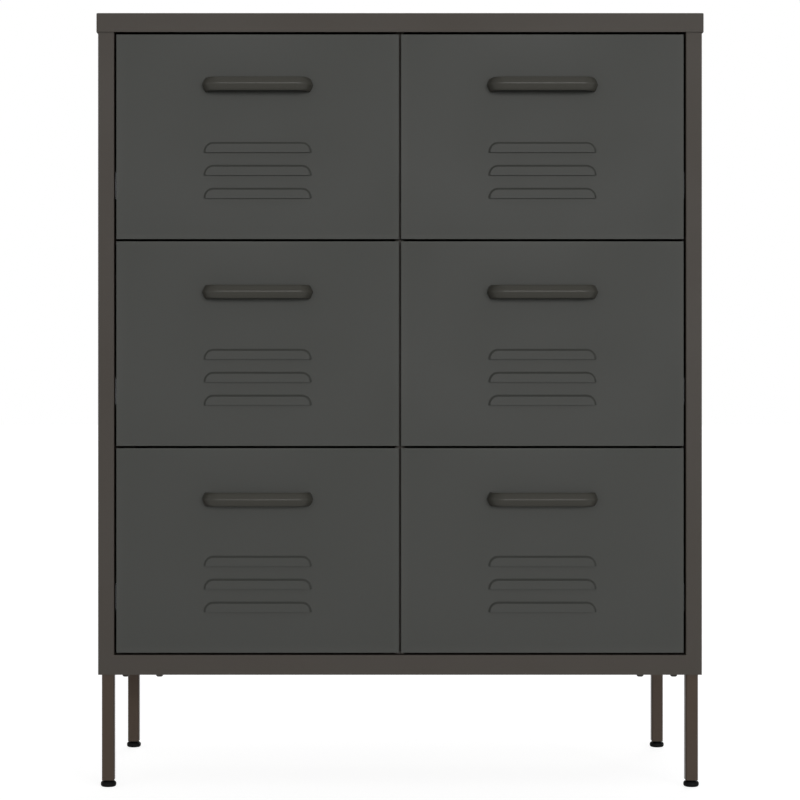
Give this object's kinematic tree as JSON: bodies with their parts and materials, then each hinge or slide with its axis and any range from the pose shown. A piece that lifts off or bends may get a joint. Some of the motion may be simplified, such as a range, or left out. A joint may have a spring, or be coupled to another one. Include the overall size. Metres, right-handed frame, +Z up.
{
  "type": "drawer cabinet",
  "caption": "Sheet-steel drawer cabinet on square tube legs with levelling feet; louvred drawer fronts with bow handles run on ball-bearing slides",
  "frame": {"origin": "on the floor, under the middle of the overall box that handles and cap reach", "axes": "+Z up, +X to the right as seen from the front; the drawers face and open towards -Y"},
  "size_m": [0.8, 0.3714, 1.021],
  "materials": {
    "carcass_paint": "dark warm-grey powder coat with a fine texture, matt",
    "front_paint": "dark grey powder coat with a fine texture, matt",
    "handle_paint": "dark grey powder coat, satin",
    "leg_paint": "dark warm-grey powder coat, satin",
    "zinc_steel": "bright zinc plating",
    "black_plastic": "black moulded plastic",
    "screw_steel": "dark coated steel"
  },
  "bodies": {
    "cabinet": {"top_cap": "carcass_paint", "base_tray": "carcass_paint", "left_side_panel": "carcass_paint", "right_side_panel": "carcass_paint", "back_panel": "carcass_paint", "centre_divider": "carcass_paint", "left_slide_uprights": "carcass_paint", "right_slide_uprights": "carcass_paint", "back_panel_screws": "screw_steel", "leg_plugs": "black_plastic", "leg_screws": "screw_steel", "front_left_leg": "leg_paint", "front_right_leg": "leg_paint", "back_right_leg": "leg_paint", "back_left_leg": "leg_paint", "left_column_left_runners": "zinc_steel", "left_column_right_runners": "zinc_steel", "right_column_left_runners": "zinc_steel", "right_column_right_runners": "zinc_steel"},
    "upper_left_drawer": {"upper_left_drawer_front": "front_paint", "upper_left_handle": "handle_paint", "upper_left_handle_screws": "screw_steel", "upper_left_tray": "carcass_paint", "upper_left_drawer_members": "zinc_steel"},
    "upper_left_cages": {"upper_left_ball_cages": "zinc_steel"},
    "upper_right_drawer": {"upper_right_drawer_front": "front_paint", "upper_right_handle": "handle_paint", "upper_right_handle_screws": "screw_steel", "upper_right_tray": "carcass_paint", "upper_right_drawer_members": "zinc_steel"},
    "upper_right_cages": {"upper_right_ball_cages": "zinc_steel"},
    "middle_left_drawer": {"middle_left_drawer_front": "front_paint", "middle_left_handle": "handle_paint", "middle_left_handle_screws": "screw_steel", "middle_left_tray": "carcass_paint", "middle_left_drawer_members": "zinc_steel"},
    "middle_left_cages": {"middle_left_ball_cages": "zinc_steel"},
    "middle_right_drawer": {"middle_right_drawer_front": "front_paint", "middle_right_handle": "handle_paint", "middle_right_handle_screws": "screw_steel", "middle_right_tray": "carcass_paint", "middle_right_drawer_members": "zinc_steel"},
    "middle_right_cages": {"middle_right_ball_cages": "zinc_steel"},
    "lower_left_drawer": {"lower_left_drawer_front": "front_paint", "lower_left_handle": "handle_paint", "lower_left_handle_screws": "screw_steel", "lower_left_tray": "carcass_paint", "lower_left_drawer_members": "zinc_steel"},
    "lower_left_cages": {"lower_left_ball_cages": "zinc_steel"},
    "lower_right_drawer": {"lower_right_drawer_front": "front_paint", "lower_right_handle": "handle_paint", "lower_right_handle_screws": "screw_steel", "lower_right_tray": "carcass_paint", "lower_right_drawer_members": "zinc_steel"},
    "lower_right_cages": {"lower_right_ball_cages": "zinc_steel"},
    "front_left_levelling_foot": {"front_left_foot": "black_plastic"},
    "front_right_levelling_foot": {"front_right_foot": "black_plastic"},
    "back_right_levelling_foot": {"back_right_foot": "black_plastic"},
    "back_left_levelling_foot": {"back_left_foot": "black_plastic"}
  },
  "joints": [
    {"name": "upper_left_drawer_slide", "type": "slide", "parent": "cabinet", "child": "upper_left_drawer", "axis": [0, -1, 0], "range_m": [0, 0.215]},
    {"name": "upper_left_cage_slide", "type": "slide", "parent": "cabinet", "child": "upper_left_cages", "axis": [0, -1, 0], "range_m": [0, 0.1075]},
    {"name": "upper_right_drawer_slide", "type": "slide", "parent": "cabinet", "child": "upper_right_drawer", "axis": [0, -1, 0], "range_m": [0, 0.215]},
    {"name": "upper_right_cage_slide", "type": "slide", "parent": "cabinet", "child": "upper_right_cages", "axis": [0, -1, 0], "range_m": [0, 0.1075]},
    {"name": "middle_left_drawer_slide", "type": "slide", "parent": "cabinet", "child": "middle_left_drawer", "axis": [0, -1, 0], "range_m": [0, 0.215]},
    {"name": "middle_left_cage_slide", "type": "slide", "parent": "cabinet", "child": "middle_left_cages", "axis": [0, -1, 0], "range_m": [0, 0.1075]},
    {"name": "middle_right_drawer_slide", "type": "slide", "parent": "cabinet", "child": "middle_right_drawer", "axis": [0, -1, 0], "range_m": [0, 0.215]},
    {"name": "middle_right_cage_slide", "type": "slide", "parent": "cabinet", "child": "middle_right_cages", "axis": [0, -1, 0], "range_m": [0, 0.1075]},
    {"name": "lower_left_drawer_slide", "type": "slide", "parent": "cabinet", "child": "lower_left_drawer", "axis": [0, -1, 0], "range_m": [0, 0.215]},
    {"name": "lower_left_cage_slide", "type": "slide", "parent": "cabinet", "child": "lower_left_cages", "axis": [0, -1, 0], "range_m": [0, 0.1075]},
    {"name": "lower_right_drawer_slide", "type": "slide", "parent": "cabinet", "child": "lower_right_drawer", "axis": [0, -1, 0], "range_m": [0, 0.215]},
    {"name": "lower_right_cage_slide", "type": "slide", "parent": "cabinet", "child": "lower_right_cages", "axis": [0, -1, 0], "range_m": [0, 0.1075]},
    {"name": "front_left_foot_turn", "type": "hinge", "parent": "cabinet", "child": "front_left_levelling_foot", "pos_m": [-0.3855, -0.14975, 0], "axis": [0, 0, 1], "continuous": true},
    {"name": "front_right_foot_turn", "type": "hinge", "parent": "cabinet", "child": "front_right_levelling_foot", "pos_m": [0.3855, -0.14975, 0], "axis": [0, 0, 1], "continuous": true},
    {"name": "back_right_foot_turn", "type": "hinge", "parent": "cabinet", "child": "back_right_levelling_foot", "pos_m": [0.3855, 0.17125, 0], "axis": [0, 0, 1], "continuous": true},
    {"name": "back_left_foot_turn", "type": "hinge", "parent": "cabinet", "child": "back_left_levelling_foot", "pos_m": [-0.3855, 0.17125, 0], "axis": [0, 0, 1], "continuous": true}
  ],
  "couplings": [
    {"joint": "upper_left_cage_slide", "follows": "upper_left_drawer_slide", "ratio": 0.5},
    {"joint": "upper_right_cage_slide", "follows": "upper_right_drawer_slide", "ratio": 0.5},
    {"joint": "middle_left_cage_slide", "follows": "middle_left_drawer_slide", "ratio": 0.5},
    {"joint": "middle_right_cage_slide", "follows": "middle_right_drawer_slide", "ratio": 0.5},
    {"joint": "lower_left_cage_slide", "follows": "lower_left_drawer_slide", "ratio": 0.5},
    {"joint": "lower_right_cage_slide", "follows": "lower_right_drawer_slide", "ratio": 0.5}
  ]
}
